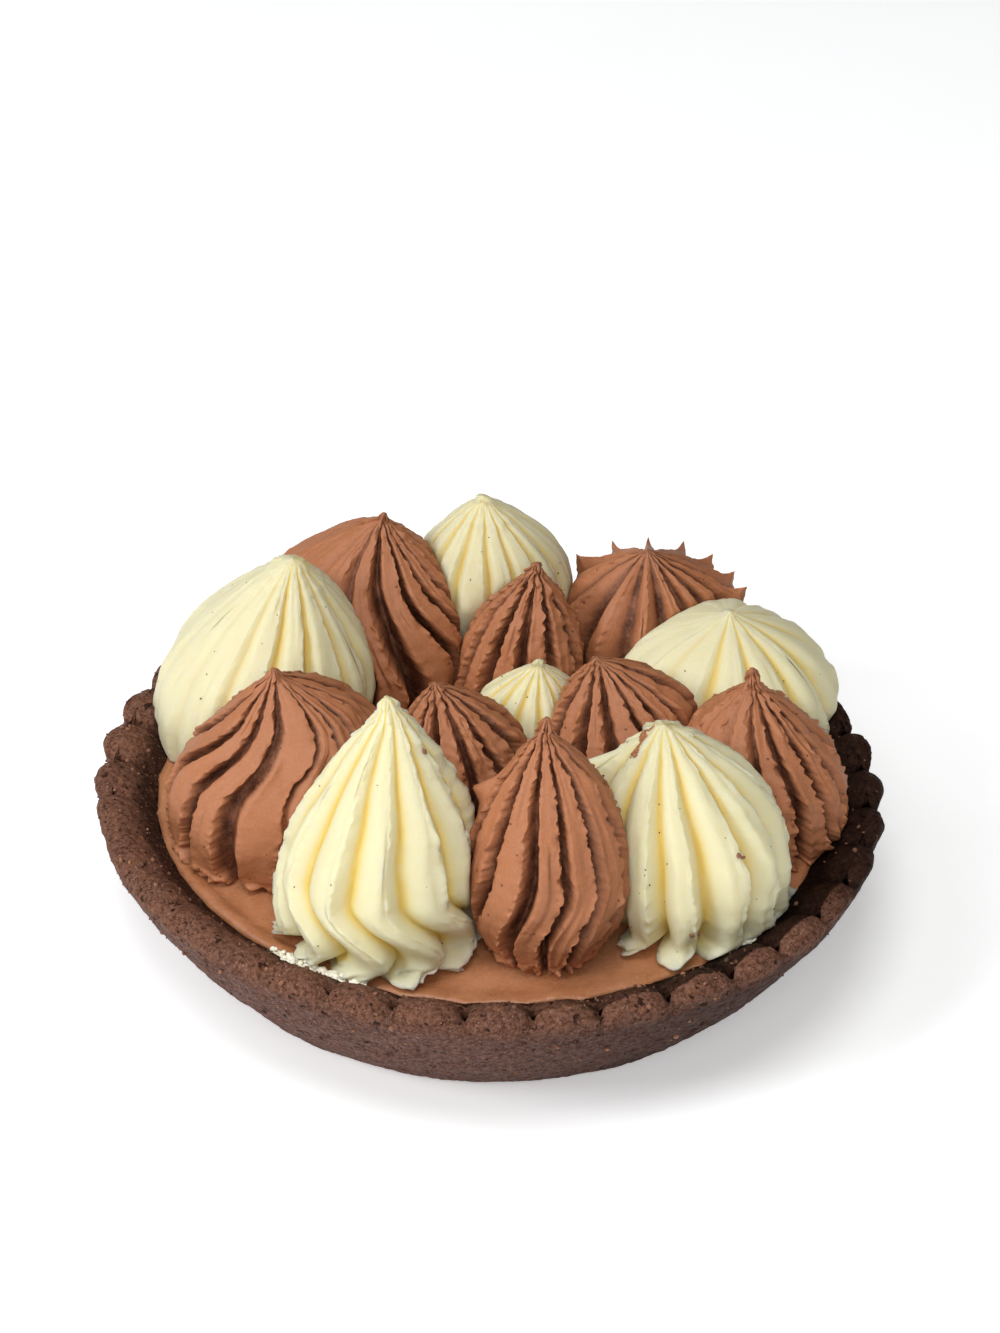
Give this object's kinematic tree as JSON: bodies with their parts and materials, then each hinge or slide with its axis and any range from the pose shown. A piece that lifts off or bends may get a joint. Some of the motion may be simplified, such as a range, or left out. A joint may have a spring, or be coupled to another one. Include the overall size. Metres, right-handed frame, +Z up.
{
  "type": "caramel tart",
  "caption": "Round individual tart: a fluted cocoa pastry case with a level caramel filling, covered by piped vanilla and caramel cream rosettes.",
  "frame": {"origin": "centre of the underside, on the surface the tart stands on", "axes": "+Z up, -Y towards the front, where two rosettes stand at the middle of the rim, +X to the right seen from the front"},
  "size_m": [0.1001, 0.1, 0.0488],
  "materials": {
    "pastry": "dark cocoa shortcrust, matt and crumbly with fine pits",
    "filling": "set caramel cream, smooth with a soft sheen",
    "vanilla_cream": "pale yellow whipped cream with fine vanilla specks, satin",
    "caramel_cream": "milky brown whipped cream, satin"
  },
  "bodies": {
    "root": {"filling": "filling", "pastry_case": "pastry", "rosette_caramel_1": "caramel_cream", "rosette_caramel_2": "caramel_cream", "rosette_caramel_3": "caramel_cream", "rosette_caramel_4": "caramel_cream", "rosette_caramel_5": "caramel_cream", "rosette_caramel_6": "caramel_cream", "rosette_caramel_7": "caramel_cream", "rosette_caramel_8": "caramel_cream", "rosette_vanilla_1": "vanilla_cream", "rosette_vanilla_2": "vanilla_cream", "rosette_vanilla_3": "vanilla_cream", "rosette_vanilla_4": "vanilla_cream", "rosette_vanilla_5": "vanilla_cream", "rosette_vanilla_6": "vanilla_cream"}
  },
  "joints": []
}
